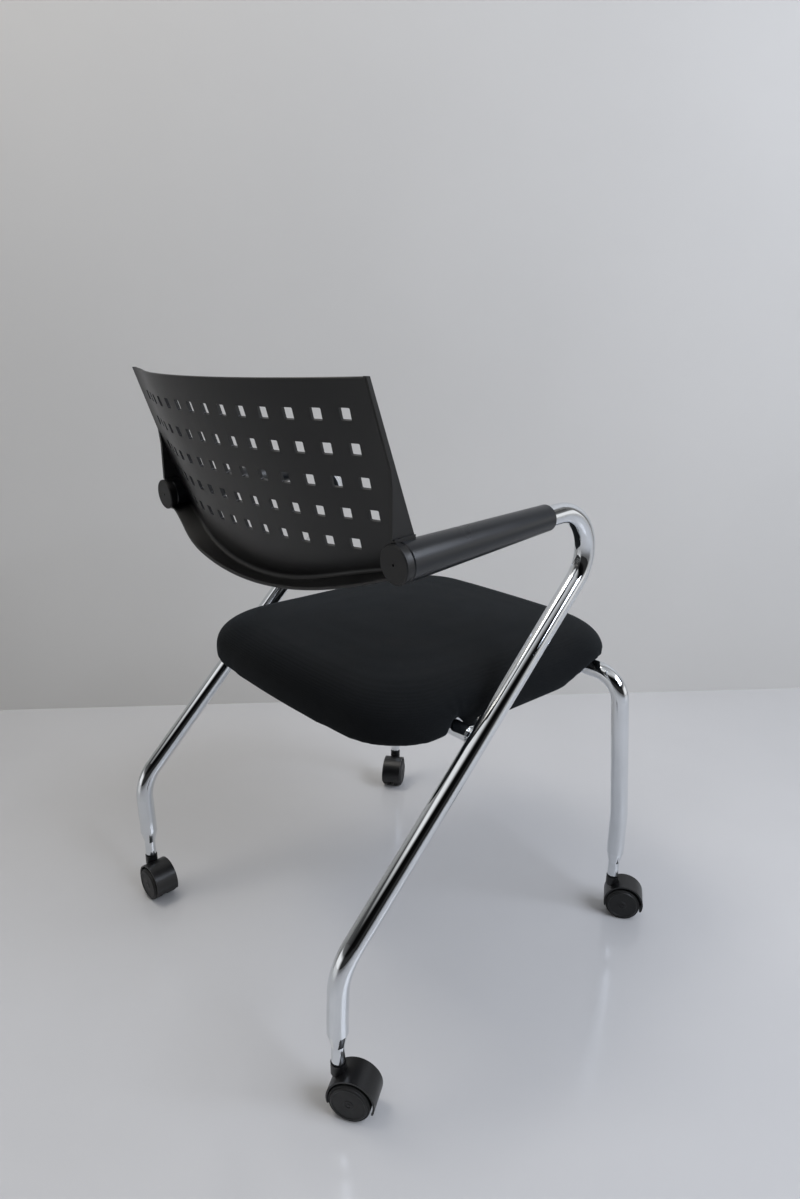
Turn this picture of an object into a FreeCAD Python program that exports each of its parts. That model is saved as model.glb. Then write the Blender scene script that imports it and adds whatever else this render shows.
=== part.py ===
import FreeCAD, Part
import math
import os

# Nesting chair on twin-wheel casters, with a flip-up seat and a perforated back.
# Millimetres. Floor at z = 0, the chair faces -Y, and x = 0 is its middle plane.
# "right" is the sitter's right hand, on the -X side.

V = FreeCAD.Vector

# Tube stock
TUBE_D = 25.0
TUBE_WALL = 2.0
CROSS_TUBE_D = 20.0
CROSS_TUBE_WALL = 2.0
RAIL_D = 19.0
RAIL_WALL = 1.5

# Side frames: each is one tube, from the rear caster up to the arm and back to the hub
SIDE_X = 253.0
REAR_STEM_X = 249.0
REAR_LEG_Y = 258.0
LOW_BEND_Z = 192.0
LOW_BEND_R = 70.0
LEG_SPLAY_Z = 122.0
LEG_SPLAY_R = 120.0
ARM_FRONT_Y = -206.6
ARM_FRONT_Z = 660.0
ARM_BEND_R = 52.0
HUB_Y = 185.0
HUB_Z = 629.6

# Front frame: both front legs and the rail under the seat are one tube
FRONT_STEM_X = 257.0
FRONT_LEG_Y = -260.0
LEG_KICK_Z = 171.0
LEG_KICK_R = 150.0
FRONT_RAIL_Y = -231.0
FRONT_RAIL_BEND_R = 36.0
UNDERFRAME_Z = 399.0
RAIL_X = 190.0

# Swaged leg ends that take the caster stems
LEG_END_Z = 66.0
SWAGE_D = 16.0
SWAGE_WALL = 1.5
SWAGE_LENGTH = 22.0
SWAGE_CONE = 18.0

# Corner gussets between the slanted tubes and the cross tube
GUSSET_LONG = 22.0
GUSSET_WIDE = 11.0
GUSSET_T = 3.0

# Arm sleeves, end caps and what fixes the back to the tube ends
SLEEVE_REAR_D = 42.0
SLEEVE_FRONT_D = 31.0
SLEEVE_END = 231.0
SLEEVE_EDGE = 1.6
CAP_T = 4.0
CAP_FACE_T = 1.5
CAP_CAVITY_D = 30.0
CAP_HOLE_D = 3.0
CAP_CHAMFER = 1.2
HUB_D = 41.0
HUB_WEB_T = 2.0
HUB_SKIRT = 4.0
PLUG_LENGTH = 32.0
BACK_SCREW_D = 6.0
BACK_SCREW_HEAD_D = 12.0
BACK_SCREW_HEAD_T = 2.3
BACK_SCREW_LENGTH = 24.0
BACK_SCREW_SOCKET_D = 4.0
BACK_SCREW_SOCKET_DEEP = 1.4

# Backrest moulding: the rear face's plan at the reference height, then its lean
BACK_REF_Z = 803.6
BACK_PLAN_X = (50.0, 100.0, 150.0, 200.0, 230.0)
BACK_PLAN_Y = (263.0, 257.0, 245.2, 228.2, 219.5)
BACK_MID_Y = 264.8
BACK_EDGE_Y = 215.6
BACK_LEAN = 0.348
BACK_T = 3.8
BACK_TOP_Z = 800.0
BACK_TOP_RISE = 5.0
BACK_LIP_X = (100.0, 150.0, 200.0, 235.0)
BACK_LIP_BEND_Z = (581.5, 595.0, 608.0, 616.0)
BACK_LIP_EDGE_Z = (577.5, 586.5, 600.0, 612.0)
BACK_LIP_MID_Z = 570.0
BACK_LIP_REACH = 27.0
BACK_LIP_T = 4.0
BACK_LIP_BEND_R = 4.5
BACK_LIP_EDGE_R = 1.8
BACK_EDGE_R = 1.6
BACK_SECTION_X = (235.0, 215.0, 190.0, 160.0, 125.0, 85.0, 42.0)

# Wings that stand on the arm sleeves
WING_X = 251.6
WING_T = 4.6
WING_KNEE_Z = 722.0
WING_HEEL_DROP = 20.0
WING_TOE_RISE = 2.0
WING_FRONT_Y = 157.0
WING_FOOT_T = 4.0
WING_FOOT_WIDE = 9.5
WING_FOOT_SETBACK = 1.2
WING_TOP_DEEP = 4.2
HUB_SETBACK = 0.8
CAP_CLEARANCE = 2.0

# Perforation of the back
HOLE_SIDE = 12.5
HOLE_CORNER_R = 1.2
HOLE_PITCH_ACROSS = 33.9
HOLE_PITCH_DOWN = 33.1
HOLE_COLUMNS = 14
HOLE_ROWS = 5
HOLE_TOP_Z = 766.0
HOLE_ROW_RISE = 0.0000873

# Seat: its plan is straight-sided, with bowed ends and wide corners
SEAT_WIDTH = 449.0
SEAT_FRONT_Y = -306.0
SEAT_REAR_Y = 174.0
SEAT_FRONT_CORNER_R = 105.0
SEAT_REAR_CORNER_R = 87.0
SEAT_FRONT_BOW_R = 2500.0
SEAT_REAR_BOW_R = 1600.0
SEAT_TOP_Z = 457.0
SEAT_WIDEST_Z = 418.0
SEAT_CROWN = 8.0
SEAT_CROWN_SHARES = (1.0, 0.88, 0.74, 0.58, 0.40, 0.22)
SEAT_SKIRT_Z = 391.5
SEAT_TOP_EDGE_IN = 55.0
SEAT_LOW_EDGE_R = 6.0
SEAT_SKIRT_T = 12.0
SKIRT_LIFT_START_Y = -140.0
SKIRT_LIFT_END_Y = -208.0
SKIRT_LIFT_GAP = 1.6
PAN_T = 8.0
PAN_GAP_OVER_TUBE = 4.0
TUBE_SLOT_GAP = 1.0

# Hinge of the seat on the cross tube
HINGE_X = 151.0
HINGE_W = 28.0
HINGE_RUN = 0.05
HINGE_BLOCK_LONG = 60.0
HINGE_BLOCK_RISE = 2.0
STRAP_T = 2.0
HINGE_SCREW_D = 5.0
HINGE_SCREW_SPREAD = 46.0
HINGE_SCREW_HEAD_D = 9.5
HINGE_SCREW_HEAD_T = 3.0
HINGE_SCREW_BITE = 6.0
SEAT_TRAVEL_DEG = 80.0
STOP_PIN_D = 6.0
STOP_PIN_REACH = 3.2
STOP_LUG_W = 12.0
STOP_LUG_DEG = 32.0
STOP_SLACK_DEG = 0.5
BUMPER_D = 16.0
BUMPER_Y = -185.0
BUMPER_REST = 0.3
BUMPER_STUD_D = 5.0
BUMPER_STUD_LENGTH = 5.0

# Casters
WHEEL_D = 50.0
WHEEL_W = 16.0
WHEEL_GAP = 8.0
WHEEL_EDGE = 1.8
WHEEL_WEB_T = 3.0
WHEEL_RIM_T = 5.0
WHEEL_HUB_D = 14.0
WHEEL_SIDE_RUN = 0.5
WHEEL_HOOD_GAP = 0.5
AXLE_D = 6.0
AXLE_RUN = 0.05
CASTER_TRAIL = 18.0
HOOD_D = 57.6
HOOD_T = 2.2
HOOD_W = 34.2
HOOD_ALONG = 1.0
HOOD_RISE = 2.4
HOOD_REAR_DEG = -6.0
HOOD_FRONT_DEG = 182.0
NECK_D = 18.0
NECK_GAP = 1.2
STEM_SEAT = 12.3
STEM_D = 11.0
STEM_RUN = 0.05
STEM_TIP = 2.5
STEM_RISE = 30.0
BUSH_FLANGE_T = 1.5
BUSH_LENGTH = 22.0

# Swivel of each caster at rest, as photographed: the way its wheels trail, from +X
SWIVEL_DEG = {
    "rear_right": 214.0,
    "front_right": 214.0,
    "rear_left": 184.0,
    "front_left": 128.0,
}


def unit(v):
    """Return v at length 1."""
    return V(v).normalize()


def mirrored(shape):
    """Return the shape mirrored in the chair's middle plane."""
    return shape.mirror(V(0, 0, 0), V(1, 0, 0))


def cylinder(radius, start, axis, length):
    """Return a cylinder from start along axis."""
    return Part.makeCylinder(radius, length, start, axis)


def bent_wire(points, radii):
    """Return a wire through the points, each inner corner rounded by its radius."""
    edges = []
    last = points[0]
    for i in range(1, len(points) - 1):
        corner = points[i]
        back = unit(points[i - 1] - corner)
        ahead = unit(points[i + 1] - corner)
        half = back.getAngle(ahead) / 2.0
        cut = radii[i - 1] / math.tan(half)
        first = corner + back * cut
        second = corner + ahead * cut
        centre = corner + unit(back + ahead) * (radii[i - 1] / math.sin(half))
        middle = centre + unit(corner - centre) * radii[i - 1]
        edges.append(Part.makeLine(last, first))
        edges.append(Part.Arc(first, middle, second).toShape())
        last = second
    edges.append(Part.makeLine(last, points[-1]))
    return Part.Wire(edges)


def pipe(points, radii, radius):
    """Return a solid round bar swept along the bent wire."""
    path = bent_wire(points, radii)
    direction = unit(points[1] - points[0])
    ring = Part.Wire(Part.makeCircle(radius, points[0], direction))
    return path.makePipeShell([ring], True, False)


def solid_of(shape):
    """Return the one solid held by a shape."""
    return shape.Solids[0] if shape.ShapeType != "Solid" else shape


def prism(points, normal_shift):
    """Return the polygon through the points, pushed along normal_shift."""
    wire = Part.makePolygon(points + [points[0]])
    return Part.Face(wire).extrude(normal_shift)


# Places worked out from the sizes above
TUBE_R = TUBE_D / 2.0
TUBE_IN_R = TUBE_R - TUBE_WALL
SWAGE_R = SWAGE_D / 2.0
SWAGE_IN_R = SWAGE_R - SWAGE_WALL
CROSS_R = CROSS_TUBE_D / 2.0
CONE_TOP_Z = LEG_END_Z + SWAGE_LENGTH + SWAGE_CONE
SLANT_UP = unit(V(0, ARM_FRONT_Y - REAR_LEG_Y, ARM_FRONT_Z - LOW_BEND_Z))
CROSS_Y = REAR_LEG_Y + (UNDERFRAME_Z - LOW_BEND_Z) * SLANT_UP.y / SLANT_UP.z
ARM_BACK = unit(V(0, HUB_Y - ARM_FRONT_Y, HUB_Z - ARM_FRONT_Z))
PAN_Z = UNDERFRAME_Z + CROSS_R + PAN_GAP_OVER_TUBE
PAN_TOP_Z = PAN_Z + PAN_T


def on_arm(distance, x):
    """Return the point on an arm's axis, measured forward from the cap's rear face."""
    return V(x, HUB_Y, HUB_Z) - ARM_BACK * distance


def leg_end(x, y, radius_out, radius_low):
    """Return a swaged leg end, from the caster up to the full tube."""
    low = cylinder(radius_low, V(x, y, LEG_END_Z), V(0, 0, 1), SWAGE_LENGTH)
    cone = Part.makeCone(radius_low, radius_out, SWAGE_CONE,
                         V(x, y, LEG_END_Z + SWAGE_LENGTH), V(0, 0, 1))
    return low.fuse(cone)


def side_tube_bar(x, radius, rear_end):
    """Return one side frame's bar without its swaged end."""
    stem_x = math.copysign(REAR_STEM_X, x)
    points = [V(stem_x, REAR_LEG_Y, CONE_TOP_Z), V(stem_x, REAR_LEG_Y, LEG_SPLAY_Z),
              V(x, REAR_LEG_Y, LOW_BEND_Z), V(x, ARM_FRONT_Y, ARM_FRONT_Z),
              on_arm(rear_end, x)]
    return solid_of(pipe(points, [LEG_SPLAY_R, LOW_BEND_R, ARM_BEND_R], radius))


def hollow(outer, inner):
    """Return the outer solid with the inner one taken out, tidied."""
    return solid_of(outer.cut(inner).removeSplitter())


TUBE_END = CAP_T + HUB_WEB_T


def side_tube(x):
    """Return a side frame tube: rear leg, slanted part and arm in one."""
    stem_x = math.copysign(REAR_STEM_X, x)
    outer = side_tube_bar(x, TUBE_R, TUBE_END)
    outer = outer.fuse(leg_end(stem_x, REAR_LEG_Y, TUBE_R, SWAGE_R))
    inner = side_tube_bar(x, TUBE_IN_R, TUBE_END)
    inner = inner.fuse(leg_end(stem_x, REAR_LEG_Y, TUBE_IN_R, SWAGE_IN_R))
    return hollow(outer, inner)


def front_bar(radius):
    """Return the bar of both front legs and the rail between them, without swages."""
    right = [V(-FRONT_STEM_X, FRONT_LEG_Y, CONE_TOP_Z), V(-FRONT_STEM_X, FRONT_LEG_Y, LEG_KICK_Z),
             V(-SIDE_X, FRONT_RAIL_Y, UNDERFRAME_Z)]
    left = [V(-p.x, p.y, p.z) for p in reversed(right)]
    radii = [LEG_KICK_R, FRONT_RAIL_BEND_R, FRONT_RAIL_BEND_R, LEG_KICK_R]
    return solid_of(pipe(right + left, radii, radius))


def front_frame():
    """Return the front legs with the rail that joins them under the seat."""
    outer = front_bar(TUBE_R)
    inner = front_bar(TUBE_IN_R)
    for x in (-FRONT_STEM_X, FRONT_STEM_X):
        outer = outer.fuse(leg_end(x, FRONT_LEG_Y, TUBE_R, SWAGE_R))
        inner = inner.fuse(leg_end(x, FRONT_LEG_Y, TUBE_IN_R, SWAGE_IN_R))
    return hollow(outer, inner)


def cross_tube():
    """Return the tube the seat turns on, coped to both side frames."""
    start = V(-SIDE_X, CROSS_Y, UNDERFRAME_Z)
    bar = cylinder(CROSS_R, start, V(1, 0, 0), 2 * SIDE_X)
    for x in (-SIDE_X, SIDE_X):
        bar = bar.cut(side_tube_bar(x, TUBE_R, TUBE_END))
    bore = cylinder(CROSS_R - CROSS_TUBE_WALL, start, V(1, 0, 0), 2 * SIDE_X)
    tube = bar.cut(bore)
    for pin in stop_pins():
        tube = tube.cut(pin)
    return solid_of(tube)


def seat_rail(x):
    """Return one fore-and-aft rail, coped to the front rail and the cross tube."""
    start = V(x, FRONT_RAIL_Y, UNDERFRAME_Z)
    length = CROSS_Y - FRONT_RAIL_Y
    tube = cylinder(RAIL_D / 2.0, start, V(0, 1, 0), length)
    tube = tube.cut(cylinder(RAIL_D / 2.0 - RAIL_WALL, start, V(0, 1, 0), length))
    across = V(x - RAIL_D, 0, UNDERFRAME_Z)
    front = cylinder(TUBE_R, across + V(0, FRONT_RAIL_Y, 0), V(1, 0, 0), 2 * RAIL_D)
    rear = cylinder(CROSS_R, across + V(0, CROSS_Y, 0), V(1, 0, 0), 2 * RAIL_D)
    return solid_of(tube.cut(front).cut(rear))


def gusset(x):
    """Return the corner plate between a slanted tube and the cross tube."""
    inward = V(-1, 0, 0) if x > 0 else V(1, 0, 0)
    face = unit(inward.cross(SLANT_UP))
    corner = V(x, CROSS_Y, UNDERFRAME_Z) - face * (GUSSET_T / 2.0)
    wide = inward * (TUBE_R + GUSSET_WIDE)
    tall = SLANT_UP * (CROSS_R + GUSSET_LONG)
    low = SLANT_UP * (CROSS_R * 0.5)
    points = [corner, corner + wide, corner + wide + low,
              corner + inward * TUBE_R + tall, corner + tall]
    plate = prism(points, face * GUSSET_T)
    plate = plate.cut(side_tube_bar(x, TUBE_R, TUBE_END))
    plate = plate.cut(cylinder(CROSS_R, V(-SIDE_X, CROSS_Y, UNDERFRAME_Z),
                               V(1, 0, 0), 2 * SIDE_X))
    return solid_of(plate)


def sleeve_radius(distance):
    """Return the arm sleeve's outer radius at a distance from the cap's rear face."""
    share = (distance - SLEEVE_START) / (SLEEVE_END - SLEEVE_START)
    return (SLEEVE_REAR_D + (SLEEVE_FRONT_D - SLEEVE_REAR_D) * share) / 2.0


SLEEVE_START = TUBE_END + HUB_SKIRT


def sleeve_envelope(x, extra):
    """Return the arm sleeve's outer form, grown by extra."""
    form = Part.makeCone(sleeve_radius(SLEEVE_START) + extra, sleeve_radius(SLEEVE_END) + extra,
                         SLEEVE_END - SLEEVE_START, on_arm(SLEEVE_START, x), ARM_BACK * -1)
    return form


def arm_sleeve(x):
    """Return the moulded grip on an arm."""
    form = sleeve_envelope(x, 0.0)
    form = form.makeChamfer(SLEEVE_EDGE, [e for e in form.Edges if e.isClosed()])
    bore = cylinder(TUBE_R, on_arm(0, x), ARM_BACK * -1, SLEEVE_END + 10)
    return solid_of(form.cut(bore))


def arm_cap(x):
    """Return the round cap that closes an arm's rear end."""
    disc = cylinder(SLEEVE_REAR_D / 2.0, on_arm(0, x), ARM_BACK * -1, CAP_T)
    rear_edge = min((e for e in disc.Edges if e.isClosed()),
                    key=lambda e: (e.CenterOfMass - on_arm(0, x)).Length)
    disc = disc.makeChamfer(CAP_CHAMFER, [rear_edge])
    cavity = cylinder(CAP_CAVITY_D / 2.0, on_arm(CAP_FACE_T, x), ARM_BACK * -1, CAP_T)
    hole = cylinder(CAP_HOLE_D / 2.0, on_arm(-1, x), ARM_BACK * -1, CAP_T)
    return solid_of(disc.cut(cavity).cut(hole))


def tube_plug(x):
    """Return the threaded plug inside an arm's rear end."""
    plug = cylinder(TUBE_IN_R, on_arm(TUBE_END, x), ARM_BACK * -1, PLUG_LENGTH)
    bore = cylinder(BACK_SCREW_D / 2.0, on_arm(TUBE_END - 1, x), ARM_BACK * -1, PLUG_LENGTH + 2)
    return solid_of(plug.cut(bore))


def back_screw(x):
    """Return the screw that clamps the back's hub on a tube end."""
    head = cylinder(BACK_SCREW_HEAD_D / 2.0, on_arm(CAP_T - BACK_SCREW_HEAD_T, x),
                    ARM_BACK * -1, BACK_SCREW_HEAD_T)
    shank = cylinder(BACK_SCREW_D / 2.0, on_arm(CAP_T, x), ARM_BACK * -1, BACK_SCREW_LENGTH)
    socket = cylinder(BACK_SCREW_SOCKET_D / 2.0, on_arm(CAP_T - BACK_SCREW_HEAD_T, x),
                      ARM_BACK * -1, BACK_SCREW_SOCKET_DEEP)
    return solid_of(head.fuse(shank).cut(socket))


def even_curve(middle, xs, values):
    """Return a smooth curve of value over x, the same on both sides of the middle."""
    half = list(zip(xs, values))
    points = [V(-x, value, 0) for x, value in reversed(half)]
    points += [V(0, middle, 0)]
    points += [V(x, value, 0) for x, value in half]
    curve = Part.BSplineCurve()
    curve.interpolate(points)
    return curve


PLAN = even_curve(BACK_MID_Y, BACK_PLAN_X + (WING_X,), BACK_PLAN_Y + (BACK_EDGE_Y,))
LIP_BEND = even_curve(BACK_LIP_MID_Z, BACK_LIP_X, BACK_LIP_BEND_Z)
LIP_EDGE = even_curve(BACK_LIP_MID_Z, BACK_LIP_X, BACK_LIP_EDGE_Z)


def curve_at(curve, x):
    """Return the value of an even curve at x, held past its ends."""
    ends = sorted((curve.StartPoint.x, curve.EndPoint.x))
    held = min(max(x, ends[0]), ends[1])
    return curve.value(curve.parameter(V(held, curve_guess(curve, held), 0))).y


def curve_guess(curve, x):
    """Return a value near the curve's own at x, by stepping along the curve."""
    low, high = curve.FirstParameter, curve.LastParameter
    for _ in range(40):
        middle = (low + high) / 2.0
        if curve.value(middle).x < x:
            low = middle
        else:
            high = middle
    return curve.value(low).y


def back_y(x, z):
    """Return y of the back's rear face at x and height z."""
    return curve_at(PLAN, x) + BACK_LEAN * (z - BACK_REF_Z)


def rounded_profile(points, radii):
    """Return a closed wire with every corner rounded by an arc."""
    count = len(points)
    cuts = []
    for i in range(count):
        corner = points[i]
        back = unit(points[i - 1] - corner)
        ahead = unit(points[(i + 1) % count] - corner)
        half = back.getAngle(ahead) / 2.0
        reach = radii[i] / math.tan(half)
        centre = corner + unit(back + ahead) * (radii[i] / math.sin(half))
        middle = centre + unit(corner - centre) * radii[i]
        cuts.append((corner + back * reach, middle, corner + ahead * reach))
    edges = []
    for i in range(count):
        edges.append(Part.Arc(*cuts[i]).toShape())
        edges.append(Part.makeLine(cuts[i][2], cuts[(i + 1) % count][0]))
    return Part.Wire(edges)


def back_section(x):
    """Return the back's closed profile at a given x: sheet, bend and rear lip."""
    top = BACK_TOP_Z + BACK_TOP_RISE * (x / WING_X) ** 2
    low = curve_at(LIP_BEND, x)
    edge = curve_at(LIP_EDGE, x)
    thick = BACK_T * math.sqrt(1 + BACK_LEAN ** 2)
    lip_y = back_y(x, low) + BACK_LIP_REACH
    under = low - BACK_LIP_T
    points = [
        V(x, back_y(x, top), top),
        V(x, back_y(x, low), low),
        V(x, lip_y, edge),
        V(x, lip_y, edge - BACK_LIP_T),
        V(x, back_y(x, under) - thick, under),
        V(x, back_y(x, top) - thick, top),
    ]
    radii = [BACK_EDGE_R, BACK_LIP_BEND_R, BACK_LIP_EDGE_R, BACK_LIP_EDGE_R,
             BACK_LIP_BEND_R + BACK_LIP_T, BACK_EDGE_R]
    return rounded_profile(points, radii)


def back_sheet():
    """Return the curved sheet of the back with its lip, before it is pierced."""
    half = [WING_X - WING_T / 2.0] + list(BACK_SECTION_X)
    stations = [-x for x in half] + [0.0] + list(reversed(half))
    return Part.makeLoft([back_section(x) for x in stations], True, False)


def wing(x):
    """Return a flat side wing with the foot that stands on the arm sleeve."""
    top = BACK_TOP_Z + BACK_TOP_RISE
    side = 1 if x > 0 else -1
    outer = side * WING_X
    inner = side * (WING_X - WING_T)
    edge_y = back_y(WING_X, top)
    knee = back_y(WING_X, WING_KNEE_Z)
    foot_rear = on_arm(0, x)
    base = foot_rear.z
    points = [
        V(outer, edge_y, top),
        V(outer, knee, WING_KNEE_Z),
        V(outer, foot_rear.y, WING_KNEE_Z - WING_HEEL_DROP),
        V(outer, foot_rear.y, base),
        V(outer, WING_FRONT_Y, base),
        V(outer, WING_FRONT_Y, HUB_Z + SLEEVE_REAR_D / 2.0 + WING_FOOT_T + WING_TOE_RISE),
        V(outer, edge_y - WING_TOP_DEEP, top),
    ]
    plate = prism(points, V(inner - outer, 0, 0))
    envelope = sleeve_envelope(x, WING_FOOT_T)
    reach = cylinder(HUB_D / 2.0 + WING_FOOT_T, on_arm(HUB_SETBACK, x), ARM_BACK * -1,
                     SLEEVE_START)
    envelope = envelope.fuse(reach)
    box = Part.makeBox(WING_FOOT_WIDE, foot_rear.y - WING_FRONT_Y - WING_FOOT_SETBACK,
                       2 * SLEEVE_REAR_D,
                       V((outer + inner) / 2.0 - WING_FOOT_WIDE / 2.0, WING_FRONT_Y, base))
    return plate.fuse(envelope.common(box))


def hub(x):
    """Return the cup that holds the back on a tube end."""
    cup = cylinder(HUB_D / 2.0, on_arm(CAP_T, x), ARM_BACK * -1, HUB_WEB_T + HUB_SKIRT)
    return cup


def hole_cutter(index_across, index_down):
    """Return the cutter of one square hole, square to the sheet."""
    middle = (HOLE_COLUMNS - 1) / 2.0
    along = (index_across - middle) * HOLE_PITCH_ACROSS
    centre_parameter = PLAN.parameter(V(0, BACK_MID_Y, 0))
    parameter = PLAN.parameterAtDistance(along, centre_parameter)
    point = PLAN.value(parameter)
    tangent = PLAN.tangent(parameter)[0]
    turn = math.degrees(math.atan2(tangent.y, tangent.x))
    z = HOLE_TOP_Z - index_down * HOLE_PITCH_DOWN + HOLE_ROW_RISE * along * along
    y = point.y + BACK_LEAN * (z - BACK_REF_Z)
    deep = BACK_LIP_REACH
    box = Part.makeBox(HOLE_SIDE, deep, HOLE_SIDE, V(-HOLE_SIDE / 2, -deep / 2, -HOLE_SIDE / 2))
    upright = [e for e in box.Edges if abs(e.Vertexes[0].Y - e.Vertexes[1].Y) > 1]
    box = box.makeFillet(HOLE_CORNER_R, upright)
    box.rotate(V(0, 0, 0), V(1, 0, 0), -math.degrees(math.atan(BACK_LEAN)))
    box.rotate(V(0, 0, 0), V(0, 0, 1), turn)
    box.translate(V(point.x, y, z))
    return box


def backrest():
    """Return the whole back moulding: sheet, lip, wings and hubs, pierced and seated."""
    body = back_sheet()
    for x in (-SIDE_X, SIDE_X):
        body = body.fuse(wing(x))
        body = body.fuse(hub(x))
    for x in (-SIDE_X, SIDE_X):
        body = body.cut(sleeve_envelope(x, 0.0))
        skirt = cylinder(TUBE_R, on_arm(TUBE_END, x), ARM_BACK * -1,
                         HUB_SKIRT + SLEEVE_REAR_D)
        shank = cylinder(BACK_SCREW_D / 2.0, on_arm(0, x), ARM_BACK * -1, TUBE_END + 1)
        cap = cylinder(SLEEVE_REAR_D / 2.0 + CAP_CLEARANCE, on_arm(-SLEEVE_REAR_D, x),
                       ARM_BACK * -1, SLEEVE_REAR_D + CAP_T)
        body = body.cut(skirt).cut(shank).cut(cap)
    cutters = []
    for row in range(HOLE_ROWS):
        first = 1 if row == HOLE_ROWS - 1 else 0
        for column in range(first, HOLE_COLUMNS - first):
            cutters.append(hole_cutter(column, row))
    body = body.cut(Part.makeCompound(cutters))
    return max(body.Solids, key=lambda s: s.Volume)


SEAT_HALF = SEAT_WIDTH / 2.0
SEAT_MID_Y = (SEAT_FRONT_Y + SEAT_REAR_Y) / 2.0


def seat_outline(z, inset):
    """Return the seat's plan at height z, shrunk about its middle so its sides come in by inset."""
    share = (SEAT_HALF - inset) / SEAT_HALF
    half = SEAT_HALF * share
    depth = (SEAT_REAR_Y - SEAT_FRONT_Y) / 2.0 * share
    ends = []
    for corner_r, bow_r, way in ((SEAT_REAR_CORNER_R, SEAT_REAR_BOW_R, 1),
                                 (SEAT_FRONT_CORNER_R, SEAT_FRONT_BOW_R, -1)):
        corner_r *= share
        bow_r *= share
        lean = math.asin((half - corner_r) / (bow_r - corner_r))
        centre_x = half - corner_r
        centre_y = depth - bow_r + (bow_r - corner_r) * math.cos(lean)
        mid = (math.pi / 2.0 - lean) / 2.0
        ends.append([(half, centre_y * way),
                     (centre_x + corner_r * math.cos(mid), (centre_y + corner_r * math.sin(mid)) * way),
                     (centre_x + corner_r * math.sin(lean), (centre_y + corner_r * math.cos(lean)) * way),
                     (0.0, depth * way)])
    rear, front = [[V(x, SEAT_MID_Y + y, z) for x, y in end] for end in ends]
    rear_far, front_far = [[V(-p.x, p.y, p.z) for p in end] for end in (rear, front)]
    return Part.Wire([
        Part.makeLine(front[0], rear[0]),
        Part.Arc(rear[0], rear[1], rear[2]).toShape(),
        Part.Arc(rear[2], rear[3], rear_far[2]).toShape(),
        Part.Arc(rear_far[2], rear_far[1], rear_far[0]).toShape(),
        Part.makeLine(rear_far[0], front_far[0]),
        Part.Arc(front_far[0], front_far[1], front_far[2]).toShape(),
        Part.Arc(front_far[2], front[3], front[2]).toShape(),
        Part.Arc(front[2], front[1], front[0]).toShape(),
    ])


def seat_slab(z, height, inset):
    """Return a flat slab of the seat's outline."""
    return Part.Face(seat_outline(z, inset)).extrude(V(0, 0, height))


def cushion_form():
    """Return the cushion's swelling form, from its skirt to its crown."""
    wires = []
    for degrees in (0, 30, 60, 90):
        angle = math.radians(degrees)
        wires.append(seat_outline(SEAT_SKIRT_Z + SEAT_LOW_EDGE_R * (1 - math.cos(angle)),
                                  SEAT_LOW_EDGE_R * (1 - math.sin(angle))))
    shoulder = 1 - SEAT_TOP_EDGE_IN / SEAT_HALF
    for degrees in range(0, 90, 10):
        angle = math.radians(degrees)
        wires.append(seat_outline(
            SEAT_WIDEST_Z + (SEAT_TOP_Z - SEAT_WIDEST_Z) * math.sin(angle),
            SEAT_TOP_EDGE_IN * (1 - math.cos(angle))))
    for share in SEAT_CROWN_SHARES:
        wires.append(seat_outline(SEAT_TOP_Z + SEAT_CROWN * (1 - share * share),
                                  SEAT_HALF * (1 - share * shoulder)))
    return solid_of(Part.makeLoft(wires, True, True))


def seat_cushion():
    """Return the upholstered seat: a crowned top and sides drawn down round the pan."""
    form = cushion_form()
    form = form.cut(seat_slab(SEAT_SKIRT_Z - 1, PAN_TOP_Z - SEAT_SKIRT_Z + 1, SEAT_SKIRT_T))
    lift_z = UNDERFRAME_Z + TUBE_R + SKIRT_LIFT_GAP
    below = SEAT_SKIRT_Z - PAN_T
    lift = prism([
        V(-SEAT_WIDTH, SKIRT_LIFT_START_Y, below),
        V(-SEAT_WIDTH, SKIRT_LIFT_START_Y, SEAT_SKIRT_Z),
        V(-SEAT_WIDTH, SKIRT_LIFT_END_Y, lift_z),
        V(-SEAT_WIDTH, SEAT_FRONT_Y - PAN_T, lift_z),
        V(-SEAT_WIDTH, SEAT_FRONT_Y - PAN_T, below),
    ], V(2 * SEAT_WIDTH, 0, 0))
    form = form.cut(lift)
    for side in (-1, 1):
        form = form.cut(tube_slot(side))
    return solid_of(form)


def tube_slot(side):
    """Return what is taken from the seat's skirt where the cross tube passes."""
    slot_r = CROSS_R + TUBE_SLOT_GAP
    inner = V(SEAT_HALF - SEAT_SKIRT_T - slot_r, CROSS_Y, UNDERFRAME_Z)
    length = SEAT_SKIRT_T + 2 * slot_r
    slot = cylinder(slot_r, inner, V(1, 0, 0), length)
    open_low = Part.makeBox(length, 2 * slot_r, 2 * slot_r, inner - V(0, slot_r, 2 * slot_r))
    cutter = slot.fuse(open_low)
    return cutter if side > 0 else mirrored(cutter)


def seat_pan():
    """Return the board that stiffens the seat and takes the hinge screws."""
    pan = seat_slab(PAN_Z, PAN_T, SEAT_SKIRT_T)
    for point in hinge_screw_points():
        pan = pan.cut(cylinder(HINGE_SCREW_D / 2.0, V(point.x, point.y, PAN_Z), V(0, 0, 1),
                               HINGE_SCREW_BITE))
    for point in bumper_points():
        pan = pan.cut(cylinder(BUMPER_STUD_D / 2.0, V(point.x, point.y, PAN_Z), V(0, 0, 1),
                               BUMPER_STUD_LENGTH))
    return solid_of(pan)


def hinge_screw_points():
    """Return the hinge screw places in plan."""
    return [V(side * HINGE_X, CROSS_Y + end * HINGE_SCREW_SPREAD / 2.0, 0)
            for side in (-1, 1) for end in (-1, 1)]


def bumper_points():
    """Return the bumper places in plan."""
    return [V(side * RAIL_X, BUMPER_Y, 0) for side in (-1, 1)]


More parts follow.
